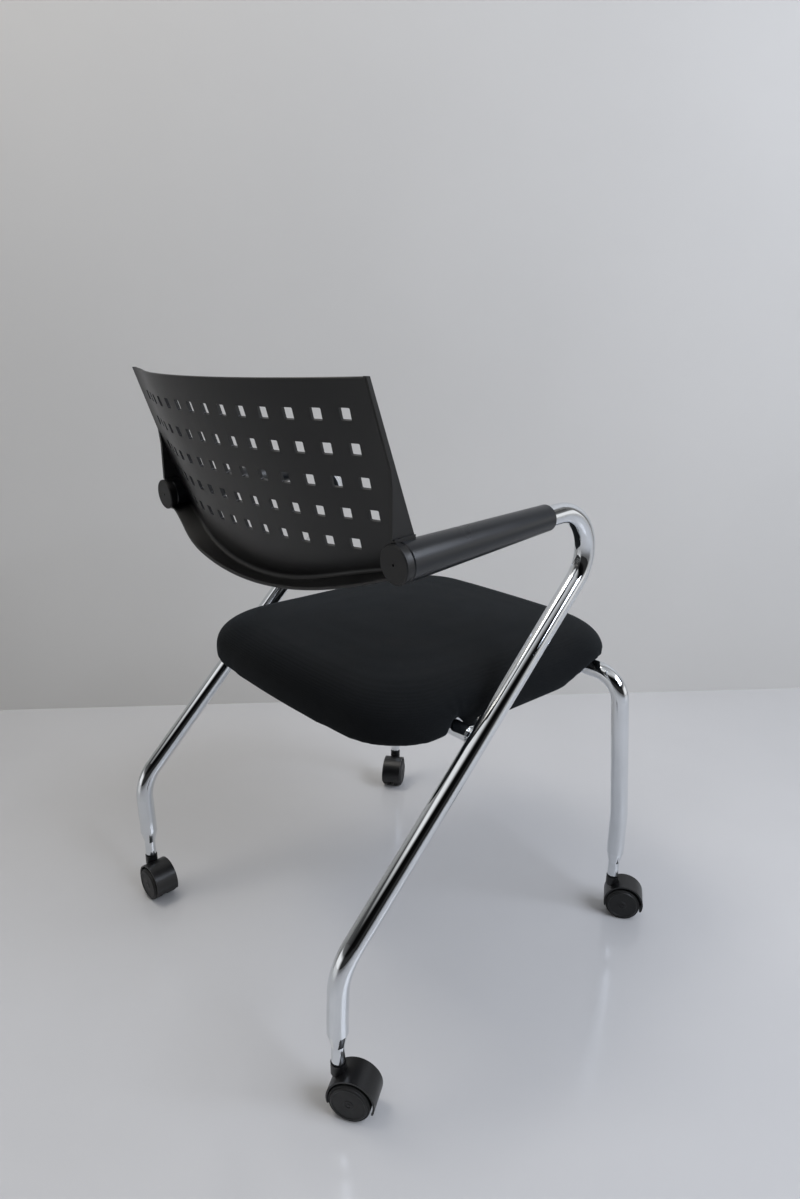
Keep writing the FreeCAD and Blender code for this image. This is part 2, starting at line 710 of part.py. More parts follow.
HINGE_BORE_R = CROSS_R + HINGE_RUN
BLOCK_LOW_Z = UNDERFRAME_Z + HINGE_BLOCK_RISE


def hinge_block(x):
    """Return the bearing block over the cross tube, with its stop lug."""
    block = Part.makeBox(HINGE_W, HINGE_BLOCK_LONG, PAN_Z - BLOCK_LOW_Z,
                         V(x - HINGE_W / 2.0, CROSS_Y - HINGE_BLOCK_LONG / 2.0, BLOCK_LOW_Z))
    bore_start = V(x - HINGE_W, CROSS_Y, UNDERFRAME_Z)
    block = block.cut(cylinder(HINGE_BORE_R, bore_start, V(1, 0, 0), 2 * HINGE_W))
    for point in hinge_screw_points():
        if point.x * x > 0:
            block = block.cut(cylinder(HINGE_SCREW_D / 2.0, V(point.x, point.y, BLOCK_LOW_Z - 1),
                                       V(0, 0, 1), PAN_Z - BLOCK_LOW_Z + 2))
    inward = -1 if x > 0 else 1
    lug_x = x + inward * HINGE_W / 2.0
    outer_r = PAN_Z - UNDERFRAME_Z - BUMPER_REST
    start_x = lug_x if inward > 0 else lug_x - STOP_LUG_W
    ring = cylinder(outer_r, V(start_x, CROSS_Y, UNDERFRAME_Z), V(1, 0, 0), STOP_LUG_W)
    ring = ring.cut(cylinder(HINGE_BORE_R + BUMPER_REST, V(start_x - 1, CROSS_Y, UNDERFRAME_Z),
                             V(1, 0, 0), STOP_LUG_W + 2))
    pin_half = math.degrees(math.asin(STOP_PIN_D / 2.0 / HINGE_BORE_R))
    first = SEAT_TRAVEL_DEG + pin_half + STOP_SLACK_DEG
    wedge = sector(start_x, STOP_LUG_W, first, first + STOP_LUG_DEG, outer_r * 2)
    return solid_of(block.fuse(ring.common(wedge)))


def sector(x, width, first_deg, last_deg, reach):
    """Return a wedge about the cross tube's axis, angles from +Y towards +Z."""
    middle = V(x, CROSS_Y, UNDERFRAME_Z)
    points = [middle]
    for share in (0.0, 0.5, 1.0):
        angle = math.radians(first_deg + (last_deg - first_deg) * share)
        points.append(middle + V(0, math.cos(angle) * reach, math.sin(angle) * reach))
    return prism(points, V(width, 0, 0))


def hinge_strap(x):
    """Return the steel strap that closes a bearing block under the tube."""
    start = V(x - HINGE_W / 2.0, CROSS_Y, UNDERFRAME_Z)
    outer_r = HINGE_BORE_R + STRAP_T
    ring = cylinder(outer_r, start, V(1, 0, 0), HINGE_W)
    above = Part.makeBox(HINGE_W + 2, 4 * outer_r, 2 * outer_r,
                         V(start.x - 1, CROSS_Y - 2 * outer_r, BLOCK_LOW_Z))
    ring = ring.cut(above)
    ears = Part.makeBox(HINGE_W, HINGE_BLOCK_LONG, STRAP_T,
                        V(start.x, CROSS_Y - HINGE_BLOCK_LONG / 2.0, BLOCK_LOW_Z - STRAP_T))
    strap = ring.fuse(ears)
    strap = strap.cut(cylinder(HINGE_BORE_R, start - V(1, 0, 0), V(1, 0, 0), HINGE_W + 2))
    for point in hinge_screw_points():
        if point.x * x > 0:
            strap = strap.cut(cylinder(HINGE_SCREW_D / 2.0,
                                       V(point.x, point.y, BLOCK_LOW_Z - STRAP_T - 1),
                                       V(0, 0, 1), STRAP_T + 2))
    return solid_of(strap)


def hinge_screws():
    """Return the screws through strap and block into the pan."""
    screws = []
    under = BLOCK_LOW_Z - STRAP_T
    for point in hinge_screw_points():
        base = V(point.x, point.y, under)
        head = cylinder(HINGE_SCREW_HEAD_D / 2.0, base - V(0, 0, HINGE_SCREW_HEAD_T),
                        V(0, 0, 1), HINGE_SCREW_HEAD_T)
        shank = cylinder(HINGE_SCREW_D / 2.0, base, V(0, 0, 1),
                         PAN_Z - under + HINGE_SCREW_BITE)
        screws.append(solid_of(head.fuse(shank)))
    return screws


def stop_pins():
    """Return the pins in the cross tube that end the seat's travel."""
    pins = []
    for side in (-1, 1):
        x = side * (HINGE_X - HINGE_W / 2.0 - STOP_LUG_W / 2.0)
        start = V(x, CROSS_Y + CROSS_R - CROSS_TUBE_WALL - 1.0, UNDERFRAME_Z)
        pins.append(cylinder(STOP_PIN_D / 2.0, start, V(0, 1, 0),
                             CROSS_TUBE_WALL + 1.0 + STOP_PIN_REACH))
    return pins


def bumpers():
    """Return the rubber pads under the seat that rest on the rails."""
    pads = []
    rail_top = UNDERFRAME_Z + RAIL_D / 2.0 + BUMPER_REST
    for point in bumper_points():
        pad = cylinder(BUMPER_D / 2.0, V(point.x, point.y, rail_top), V(0, 0, 1), PAN_Z - rail_top)
        stud = cylinder(BUMPER_STUD_D / 2.0, V(point.x, point.y, rail_top), V(0, 0, 1),
                        PAN_Z - rail_top + BUMPER_STUD_LENGTH)
        pads.append(solid_of(pad.fuse(stud)))
    return pads


def placed(shape, x, y, swivel):
    """Return a caster piece turned to its swivel angle and moved to its stem."""
    moved = shape.copy()
    moved.rotate(V(0, 0, 0), V(0, 0, 1), swivel)
    moved.translate(V(x, y, 0))
    return moved


WHEEL_R = WHEEL_D / 2.0
WHEEL_IN_Y = WHEEL_GAP / 2.0
WHEEL_OUT_Y = WHEEL_IN_Y + WHEEL_W
AXLE_MID = V(CASTER_TRAIL, 0, WHEEL_R)
AXLE_END_Y = WHEEL_OUT_Y - WHEEL_WEB_T
HOOD_MID = AXLE_MID + V(HOOD_ALONG, 0, HOOD_RISE)
HOOD_R = HOOD_D / 2.0
HOOD_IN_R = HOOD_R - HOOD_T
HOOD_WEB_Y = WHEEL_IN_Y - WHEEL_SIDE_RUN
NECK_TOP_Z = LEG_END_Z - BUSH_FLANGE_T - NECK_GAP
STEM_LOW_Z = NECK_TOP_Z - STEM_SEAT


def caster_wheel(side):
    """Return one wheel: tread, outer disc and hub, open on its inner side."""
    start = V(CASTER_TRAIL, side * WHEEL_IN_Y, WHEEL_R)
    out = V(0, side, 0)
    wheel = cylinder(WHEEL_R, start, out, WHEEL_W)
    rims = [e for e in wheel.Edges if e.isClosed()]
    rims = sorted(rims, key=lambda e: abs(e.CenterOfMass.y))
    wheel = wheel.makeChamfer(WHEEL_EDGE, [rims[-1]])
    hollow_r = WHEEL_R - WHEEL_RIM_T
    ring = cylinder(hollow_r, start, out, WHEEL_W - WHEEL_WEB_T)
    ring = ring.cut(cylinder(WHEEL_HUB_D / 2.0, start, out, WHEEL_W - WHEEL_WEB_T))
    wheel = wheel.cut(ring)
    bore = cylinder(AXLE_D / 2.0 + AXLE_RUN, start, out, WHEEL_W - WHEEL_WEB_T + AXLE_RUN * 4)
    return solid_of(wheel.cut(bore))


def caster_axle():
    """Return the axle pin pressed through the hood's web."""
    return cylinder(AXLE_D / 2.0, AXLE_MID - V(0, AXLE_END_Y, 0), V(0, 1, 0), 2 * AXLE_END_Y)


def caster_hood():
    """Return the hood over both wheels, with its web and the neck for the stem."""
    half = HOOD_W / 2.0
    start = HOOD_MID - V(0, half, 0)
    hollow_form = cylinder(HOOD_IN_R, start, V(0, 1, 0), HOOD_W)
    shell = cylinder(HOOD_R, start, V(0, 1, 0), HOOD_W).cut(hollow_form)
    web = cylinder(HOOD_R, HOOD_MID - V(0, HOOD_WEB_Y, 0), V(0, 1, 0), 2 * HOOD_WEB_Y)
    outline = []
    steps = 6
    for step in range(steps + 1):
        angle = math.radians(HOOD_REAR_DEG + (HOOD_FRONT_DEG - HOOD_REAR_DEG) * step / steps)
        outline.append(start + V(math.cos(angle), 0, math.sin(angle)) * HOOD_D)
    outline.append(start - V(0, 0, WHEEL_HUB_D))
    wedge = prism(outline, V(0, HOOD_W, 0))
    low = V(0, 0, STEM_LOW_Z - HOOD_T)
    neck = cylinder(NECK_D / 2.0, low, V(0, 0, 1), NECK_TOP_Z - low.z)
    for side in (-1, 1):
        room = cylinder(HOOD_IN_R, HOOD_MID + V(0, side * HOOD_WEB_Y, 0), V(0, side, 0), HOOD_W)
        neck = neck.cut(room)
    body = shell.common(wedge).fuse(web.common(wedge)).fuse(neck)
    for side in (-1, 1):
        turning = cylinder(WHEEL_R + WHEEL_HOOD_GAP, AXLE_MID + V(0, side * HOOD_WEB_Y, 0),
                           V(0, side, 0), HOOD_W)
        body = body.cut(turning)
    body = body.cut(cylinder(STEM_D / 2.0, V(0, 0, STEM_LOW_Z), V(0, 0, 1), 2 * STEM_SEAT))
    body = body.cut(caster_axle())
    return solid_of(body)


def caster_stem():
    """Return the steel stem that is pressed in the neck and turns in the leg's bush."""
    length = LEG_END_Z + STEM_RISE - STEM_LOW_Z
    stem = cylinder(STEM_D / 2.0, V(0, 0, STEM_LOW_Z), V(0, 0, 1), length)
    top = max((e for e in stem.Edges if e.isClosed()), key=lambda e: e.CenterOfMass.z)
    return solid_of(stem.makeChamfer(STEM_TIP, [top]))


def stem_bush(x, y):
    """Return the plastic bush that lines a leg end."""
    base = V(x, y, LEG_END_Z)
    flange = cylinder(SWAGE_R, base, V(0, 0, -1), BUSH_FLANGE_T)
    lining = cylinder(SWAGE_IN_R, base, V(0, 0, 1), BUSH_LENGTH)
    bore = cylinder(STEM_D / 2.0 + STEM_RUN, base - V(0, 0, 2 * BUSH_FLANGE_T), V(0, 0, 1),
                    BUSH_LENGTH + 4 * BUSH_FLANGE_T)
    return solid_of(flange.fuse(lining).cut(bore))


CASTER_AT = {
    "rear_right": (-REAR_STEM_X, REAR_LEG_Y),
    "front_right": (-FRONT_STEM_X, FRONT_LEG_Y),
    "rear_left": (REAR_STEM_X, REAR_LEG_Y),
    "front_left": (FRONT_STEM_X, FRONT_LEG_Y),
}


def build():
    """Return every named piece of the chair."""
    pieces = {}
    pieces["right_side_tube"] = side_tube(-SIDE_X)
    pieces["left_side_tube"] = side_tube(SIDE_X)
    pieces["front_leg_frame"] = front_frame()
    pieces["seat_cross_tube"] = cross_tube()
    pieces["right_seat_rail"] = seat_rail(-RAIL_X)
    pieces["left_seat_rail"] = seat_rail(RAIL_X)
    pieces["frame_gussets"] = Part.makeCompound([gusset(-SIDE_X), gusset(SIDE_X)])
    pieces["seat_stop_pins"] = Part.makeCompound(stop_pins())
    pieces["right_arm_sleeve"] = arm_sleeve(-SIDE_X)
    pieces["left_arm_sleeve"] = arm_sleeve(SIDE_X)
    pieces["arm_end_caps"] = Part.makeCompound([arm_cap(-SIDE_X), arm_cap(SIDE_X)])
    pieces["arm_tube_plugs"] = Part.makeCompound([tube_plug(-SIDE_X), tube_plug(SIDE_X)])
    pieces["backrest_screws"] = Part.makeCompound([back_screw(-SIDE_X), back_screw(SIDE_X)])
    pieces["backrest"] = backrest()
    pieces["seat_pan"] = seat_pan()
    pieces["seat_cushion"] = seat_cushion()
    pieces["right_hinge_block"] = hinge_block(-HINGE_X)
    pieces["left_hinge_block"] = hinge_block(HINGE_X)
    pieces["hinge_straps"] = Part.makeCompound([hinge_strap(-HINGE_X), hinge_strap(HINGE_X)])
    pieces["hinge_screws"] = Part.makeCompound(hinge_screws())
    pieces["seat_bumpers"] = Part.makeCompound(bumpers())
    pieces["stem_bushes"] = Part.makeCompound([stem_bush(*at) for at in CASTER_AT.values()])
    hood = caster_hood()
    stem = caster_stem()
    axle = caster_axle()
    wheels = {"wheel_a": caster_wheel(-1), "wheel_b": caster_wheel(1)}
    for name, (x, y) in CASTER_AT.items():
        swivel = SWIVEL_DEG[name]
        pieces[name + "_caster_hood"] = placed(hood, x, y, swivel)
        pieces[name + "_caster_stem"] = placed(stem, x, y, swivel)
        pieces[name + "_caster_axle"] = placed(axle, x, y, swivel)
        for wheel, shape in wheels.items():
            pieces[name + "_caster_" + wheel] = placed(shape, x, y, swivel)
    return pieces


os.makedirs("parts", exist_ok=True)
for piece_name, piece in build().items():
    piece.exportStep(os.path.join("parts", piece_name + ".step"))
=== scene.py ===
"""Nesting chair on twin-wheel casters: the visual model over its CAD frame.

Metres. Floor at z = 0, the chair faces -Y, and -X is the sitter's right, which
is the near side in the photograph.
"""

import logging
import math
from dataclasses import dataclass, field
from enum import Enum

import bmesh
import bpy
from mathutils import Matrix, Vector


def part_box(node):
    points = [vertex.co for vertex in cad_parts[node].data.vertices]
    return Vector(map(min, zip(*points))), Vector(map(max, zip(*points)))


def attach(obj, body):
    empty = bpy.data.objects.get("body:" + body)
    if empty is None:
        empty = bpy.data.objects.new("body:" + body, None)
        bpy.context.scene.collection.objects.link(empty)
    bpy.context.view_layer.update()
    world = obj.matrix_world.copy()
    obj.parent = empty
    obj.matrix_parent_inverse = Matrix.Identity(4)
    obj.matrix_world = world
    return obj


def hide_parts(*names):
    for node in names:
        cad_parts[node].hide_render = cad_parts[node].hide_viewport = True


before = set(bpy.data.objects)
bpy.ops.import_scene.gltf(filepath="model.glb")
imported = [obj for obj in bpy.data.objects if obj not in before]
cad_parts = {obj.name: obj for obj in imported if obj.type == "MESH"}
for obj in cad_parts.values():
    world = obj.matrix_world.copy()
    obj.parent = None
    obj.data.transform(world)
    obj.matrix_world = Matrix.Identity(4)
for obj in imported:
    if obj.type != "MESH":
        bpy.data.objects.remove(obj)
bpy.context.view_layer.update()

log = logging.getLogger("nesting_chair")
logging.basicConfig(level=logging.INFO, format="%(message)s")

MM = 0.001

# Radians that the wave pattern turns in one unit of length at a scale of 1.
WAVE_TURN = 20.0


class Side(Enum):
    """The two sides of the chair, by the sign of x."""

    RIGHT = -1
    LEFT = 1


class Corner(Enum):
    """The four casters, by the first part of their nodes' names."""

    REAR_RIGHT = "rear_right"
    FRONT_RIGHT = "front_right"
    REAR_LEFT = "rear_left"
    FRONT_LEFT = "front_left"


def linear(hex_colour: str) -> tuple[float, float, float, float]:
    """Turn an sRGB hex colour into linear values.

    Args:
        hex_colour: The colour as "#rrggbb".

    Returns:
        The linear red, green and blue, with an alpha of 1.
    """
    values = [int(hex_colour[i:i + 2], 16) / 255 for i in (1, 3, 5)]
    turned = [v / 12.92 if v <= 0.04045 else ((v + 0.055) / 1.055) ** 2.4 for v in values]
    return (turned[0], turned[1], turned[2], 1.0)


def node(
    tree: bpy.types.NodeTree,
    kind: str,
    settings: dict | None = None,
    links: dict | None = None,
    **properties: object,
) -> bpy.types.Node:
    """Add a shader node with its properties, socket values and incoming links.

    Args:
        tree: The node tree that takes it.
        kind: The node's type name.
        settings: Values for its input sockets, by name or index.
        links: Output sockets to link from, by the name or index of the input.
        **properties: Properties set on the node itself.

    Returns:
        The new node.
    """
    made = tree.nodes.new(kind)
    for name, value in properties.items():
        setattr(made, name, value)
    for name, value in (settings or {}).items():
        made.inputs[name].default_value = value
    for name, source in (links or {}).items():
        tree.links.new(source, made.inputs[name])
    return made


def middle(name: str) -> Vector:
    """Return the middle of a CAD node's box."""
    return sum(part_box(name), Vector()) / 2


@dataclass(frozen=True)
class Finish:
    """A finish: its colour, gloss and surface, before a subclass adds its pattern.

    Attributes:
        name: The material's name.
        colour: Base colour as sRGB hex.
        colour_low: Darker colour that the pattern mixes in.
        roughness: Middle roughness.
        roughness_swing: How far the pattern moves the roughness.
        metallic: 1 for a metal.
        grain_mm: Size of the surface grain.
        grain_depth_mm: Height of the surface grain.
        cloud_mm: Size of the slow change of colour and gloss.
        ior: Index of refraction, for what isn't a metal.
    """

    name: str
    colour: str
    colour_low: str
    roughness: float
    roughness_swing: float = 0.04
    metallic: float = 0.0
    grain_mm: float = 1.0
    grain_depth_mm: float = 0.01
    cloud_mm: float = 60.0
    ior: float = 1.5

    def material(self) -> bpy.types.Material:
        """Return the finish's material, made on first use."""
        found = bpy.data.materials.get(self.name)
        return found if found else self.build()

    def build(self) -> bpy.types.Material:
        """Make the node material.

        Returns:
            The new material.
        """
        made = bpy.data.materials.new(self.name)
        made.use_nodes = True
        tree = made.node_tree
        shader = tree.nodes["Principled BSDF"]
        place = node(tree, "ShaderNodeTexCoord").outputs["Object"]
        cloud = node(
            tree, "ShaderNodeTexNoise",
            {"Scale": 1 / (self.cloud_mm * MM), "Detail": 3.0, "Roughness": 0.55},
            {"Vector": place},
        ).outputs["Fac"]
        tone = node(
            tree, "ShaderNodeMix",
            {6: linear(self.colour_low), 7: linear(self.colour)},
            {0: cloud}, data_type="RGBA",
        ).outputs[2]
        gloss = node(
            tree, "ShaderNodeMapRange",
            {"From Min": 0.3, "From Max": 0.7,
             "To Min": max(self.roughness - self.roughness_swing, 0.0),
             "To Max": self.roughness + self.roughness_swing},
            {"Value": cloud},
        ).outputs["Result"]
        shader.inputs["Metallic"].default_value = self.metallic
        if not self.metallic:
            shader.inputs["IOR"].default_value = self.ior
        tree.links.new(self.colour_socket(tree, place, tone), shader.inputs["Base Color"])
        tree.links.new(gloss, shader.inputs["Roughness"])
        bump = node(
            tree, "ShaderNodeBump",
            {"Strength": 1.0, "Distance": self.grain_depth_mm * MM},
            {"Height": self.height_socket(tree, place)},
        ).outputs["Normal"]
        tree.links.new(bump, shader.inputs["Normal"])
        self.extra(shader)
        return made

    def colour_socket(
        self, tree: bpy.types.NodeTree, place: bpy.types.NodeSocket, tone: bpy.types.NodeSocket
    ) -> bpy.types.NodeSocket:
        """Return the socket that gives the base colour; a subclass adds to it."""
        return tone

    def height_socket(
        self, tree: bpy.types.NodeTree, place: bpy.types.NodeSocket
    ) -> bpy.types.NodeSocket:
        """Return the socket of the surface's height, a fine even grain."""
        return node(
            tree, "ShaderNodeTexNoise",
            {"Scale": 1 / (self.grain_mm * MM), "Detail": 2.0, "Roughness": 0.5},
            {"Vector": place},
        ).outputs["Fac"]

    def extra(self, shader: bpy.types.Node) -> None:
        """Set what only one finish has on the shader; nothing here."""


@dataclass(frozen=True)
class WovenFinish(Finish):
    """Tightly woven upholstery: warp and weft bands over a crepe of small nubs.

    Attributes:
        thread_mm: Distance from thread to thread.
        sheen: Weight of the cloth's edge sheen.
        sheen_roughness: How widely the sheen spreads.
        sheen_colour: The sheen's colour as sRGB hex.
    """

    thread_mm: float = 2.6
    sheen: float = 0.06
    sheen_roughness: float = 0.45
    sheen_colour: str = "#8fa0ad"

    def weave(
        self, tree: bpy.types.NodeTree, place: bpy.types.NodeSocket
    ) -> bpy.types.NodeSocket:
        """Return the height of the warp over the weft.

        Args:
            tree: The material's node tree.
            place: Object coordinates.

        Returns:
            A socket from 0, between threads, to 1, on a thread.
        """
        bands = [
            node(
                tree, "ShaderNodeTexWave",
                {"Scale": math.tau / (WAVE_TURN * self.thread_mm * MM),
                 "Distortion": 1.2, "Detail": 2.0, "Detail Scale": 1.5},
                {"Vector": place}, wave_type="BANDS", bands_direction=direction,
            ).outputs["Fac"]
            for direction in ("X", "Y", "Z")
        ]
        crossed = node(
            tree, "ShaderNodeMath", {}, {0: bands[0], 1: bands[1]}, operation="MULTIPLY",
        ).outputs[0]
        return node(
            tree, "ShaderNodeMath", {}, {0: crossed, 1: bands[2]}, operation="MAXIMUM",
        ).outputs[0]

    def height_socket(
        self, tree: bpy.types.NodeTree, place: bpy.types.NodeSocket
    ) -> bpy.types.NodeSocket:
        """Return the weave's height with the nubs of the yarn on it."""
        nubs = super().height_socket(tree, place)
        return node(
            tree, "ShaderNodeMath", {}, {0: self.weave(tree, place), 1: nubs}, operation="ADD",
        ).outputs[0]

    def colour_socket(
        self, tree: bpy.types.NodeTree, place: bpy.types.NodeSocket, tone: bpy.types.NodeSocket
    ) -> bpy.types.NodeSocket:
        """Return the tone with painted shade: darker down between the threads, a little lighter on
        their tops.
        """
        # Painted shade and highlight of the weave: the hollows between threads darkened to 0.72 of
        # the tone, the threads' tops lightened to 1.12.
        painted_weave_shading = node(
            tree, "ShaderNodeMapRange",
            {"From Min": 0.0, "From Max": 1.0, "To Min": 0.72, "To Max": 1.12},
            {"Value": self.weave(tree, place)},
        ).outputs["Result"]
        return node(
            tree, "ShaderNodeMix", {0: 1.0}, {6: tone, 7: painted_weave_shading},
            data_type="RGBA", blend_type="MULTIPLY",
        ).outputs[2]

    def extra(self, shader: bpy.types.Node) -> None:
        """Set the fibres' soft sheen at the edges."""
        shader.inputs["Sheen Weight"].default_value = self.sheen
        shader.inputs["Sheen Roughness"].default_value = self.sheen_roughness
        shader.inputs["Sheen Tint"].default_value = linear(self.sheen_colour)


# Electroplated chrome on steel tube: mirror bright and slightly blue, with faint wipe marks.
CHROME = Finish(
    "chrome_plated_tube", "#e6e9ec", "#dadde0", roughness=0.035, roughness_swing=0.02,
    metallic=1.0, grain_mm=6.0, grain_depth_mm=0.004, cloud_mm=25.0,
)
# Chrome over a weld: the ripples of the bead break up the reflection.
WELD = Finish(
    "chromed_weld_bead", "#dcdfe2", "#b9bcbf", roughness=0.10, roughness_swing=0.05,
    metallic=1.0, grain_mm=1.2, grain_depth_mm=0.12, cloud_mm=6.0,
)
# Injection-moulded polypropylene: satin black with a fine spark-eroded grain.
BACK = Finish(
    "moulded_polypropylene", "#101011", "#0c0c0d", roughness=0.38, roughness_swing=0.03,
    grain_mm=0.7, grain_depth_mm=0.035, cloud_mm=90.0,
)
# Moulded nylon arm sleeve: smoother satin with a cool tint.
SLEEVE = Finish(
    "satin_nylon_sleeve", "#16191d", "#121418", roughness=0.30, roughness_swing=0.03,
    grain_mm=0.8, grain_depth_mm=0.02, cloud_mm=70.0,
)
# Moulded ABS cap: matter than the sleeve.
CAP = Finish(
    "matte_abs_cap", "#101011", "#0c0c0d", roughness=0.48, roughness_swing=0.03,
    grain_mm=0.6, grain_depth_mm=0.03, cloud_mm=30.0,
)
# Glass-filled nylon hood: satin, softly shiny along its curve.
HOOD = Finish(
    "glass_filled_nylon_hood", "#111112", "#0d0d0e", roughness=0.36, roughness_swing=0.04,
    grain_mm=0.9, grain_depth_mm=0.03, cloud_mm=20.0,
)
# Nylon wheel disc: matte with turned rings and scuffs.
WHEEL = Finish(
    "nylon_wheel_disc", "#151515", "#101010", roughness=0.52, roughness_swing=0.06,
    grain_mm=0.5, grain_depth_mm=0.03, cloud_mm=9.0,
)
# Polyurethane tread: dull, greyed with floor dust.
TREAD = Finish(
    "polyurethane_tread", "#1a1a19", "#131313", roughness=0.66, roughness_swing=0.08,
    grain_mm=0.8, grain_depth_mm=0.06, cloud_mm=7.0,
)
# Zinc-plated steel: soft grey with rolled streaks.
ZINC = Finish(
    "zinc_plated_steel", "#a3a5a7", "#85878a", roughness=0.34, roughness_swing=0.06,
    metallic=1.0, grain_mm=0.5, grain_depth_mm=0.02, cloud_mm=5.0,
)
# Polypropylene seat board: dull black, coarse grain.
BOARD = Finish(
    "polypropylene_seat_board", "#1c1c1c", "#151515", roughness=0.62, roughness_swing=0.05,
    grain_mm=1.5, grain_depth_mm=0.05, cloud_mm=40.0,
)
# Acetal bearing block and stem bush: waxy black.
ACETAL = Finish(
    "acetal_bearing", "#1d1d1e", "#171718", roughness=0.45, roughness_swing=0.04,
    grain_mm=0.8, grain_depth_mm=0.02, cloud_mm=12.0,
)
# Nitrile rubber bumper: dead matte.
RUBBER = Finish(
    "nitrile_rubber_bumper", "#1a1a1a", "#121212", roughness=0.8, roughness_swing=0.05,
    grain_mm=0.6, grain_depth_mm=0.05, cloud_mm=8.0,
)
# Polyester crepe weave: deep blue-black, matte, with a soft edge sheen. Its 0.6 mm threads
# are drawn at 2.6 mm so that they show.
CLOTH = WovenFinish(
    "woven_polyester_crepe", "#090d10", "#07090b", roughness=0.92, roughness_swing=0.04,
    grain_mm=1.1, grain_depth_mm=0.16, cloud_mm=80.0, ior=1.3,
)


def dress(names: list[str], finish: Finish) -> None:
    """Give CAD nodes a finish.

    Args:
        names: The nodes.
        finish: What they are made of.
    """
    for name in names:
        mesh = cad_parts[name].data
        mesh.materials.clear()
        mesh.materials.append(finish.material())
        log.info("dressed %s", name)


def smooth(piece: bpy.types.Object, sharp_deg: float = 35.0) -> None:
    """Shade a mesh smooth, with edges over an angle left sharp.

    Args:
        piece: The object.
        sharp_deg: The angle in degrees.
    """
    mesh = piece.data
    mesh.polygons.foreach_set("use_smooth", [True] * len(mesh.polygons))
    mesh.set_sharp_from_angle(angle=math.radians(sharp_deg))


def add_piece(
    name: str, bm: bmesh.types.BMesh, finish: Finish, body: str
) -> bpy.types.Object:
    """Make an object from a bmesh and let it ride on a body.

    Args:
        name: The piece's name.
        bm: Its mesh, which is freed.
        finish: What it is made of.
        body: The body it moves with.

    Returns:
        The new object.
    """
    bmesh.ops.recalc_face_normals(bm, faces=bm.faces)
    mesh = bpy.data.meshes.new(name)
    bm.to_mesh(mesh)
    bm.free()
    piece = bpy.data.objects.new(name, mesh)
    bpy.context.scene.collection.objects.link(piece)
    mesh.materials.append(finish.material())
    smooth(piece)
    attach(piece, body)
    log.info("made %s", name)
    return piece


def turned(
    profile: list[tuple[float, float]], steps: int, turn: Matrix, closed: bool
) -> bmesh.types.BMesh:
    """Turn a profile about its axis and put it in place.

    Args:
        profile: Points as (radius, height) in metres.
        steps: Steps of the full turn.
        turn: Matrix from the axis on +Z to the row's frame.
        closed: Whether the profile's last point joins its first.

    Returns:
        The turned bmesh.
    """
    bm = bmesh.new()
    verts = [bm.verts.new((radius, 0.0, height)) for radius, height in profile]
    pairs = list(zip(verts, verts[1:] + verts[:1] if closed else verts[1:]))
    edges = [bm.edges.new(pair) for pair in pairs]
    bmesh.ops.spin(
        bm, geom=verts + edges, cent=(0, 0, 0), axis=(0, 0, 1), angle=math.tau,
        steps=steps, use_merge=True, use_duplicate=False,
    )
    bmesh.ops.remove_doubles(bm, verts=bm.verts, dist=0.01 * MM)
    bm.transform(turn)
    return bm


def facing(axis: Vector, centre: Vector) -> Matrix:
    """Return the matrix that turns +Z to an axis and moves the origin to a point."""
    return Matrix.Translation(centre) @ axis.to_track_quat("Z", "Y").to_matrix().to_4x4()


